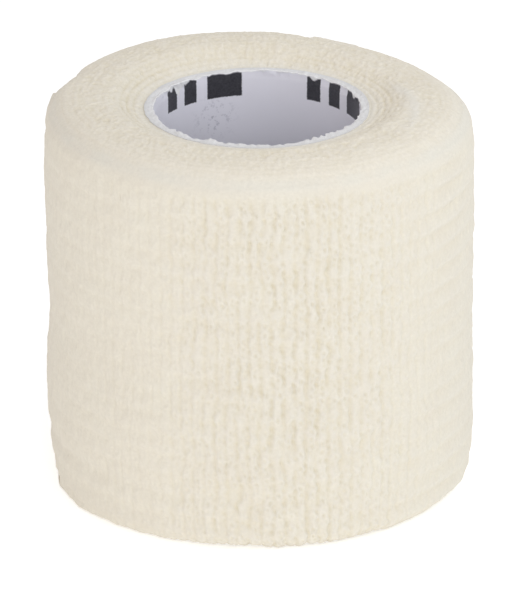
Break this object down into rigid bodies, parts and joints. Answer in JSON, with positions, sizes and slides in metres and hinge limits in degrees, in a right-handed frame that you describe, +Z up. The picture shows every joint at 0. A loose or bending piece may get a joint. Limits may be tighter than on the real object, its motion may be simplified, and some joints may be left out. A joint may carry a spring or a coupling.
{
  "type": "cohesive bandage roll",
  "caption": "Roll of crinkled cream elastic bandage wound on a white paper core, with a dished wound face, soft rounded edges and an open bore, standing on one end.",
  "frame": {"origin": "middle of the roll's footprint, on the surface it stands on", "axes": "+Z up along the core; -Y towards the side that the picture shows; the cloth's free end lies along the back, at +Y"},
  "size_m": [0.0554, 0.0548, 0.0521],
  "materials": {
    "bandage_cloth": "matt cream nonwoven cloth, crinkled across its width and ribbed by the elastic threads along it",
    "core_paper": "smooth white paper, fibrous at its cut rim, with plain dark printed bars inside"
  },
  "bodies": {
    "root": {"wound_bandage": "bandage_cloth", "core_tube": "core_paper"}
  },
  "joints": []
}
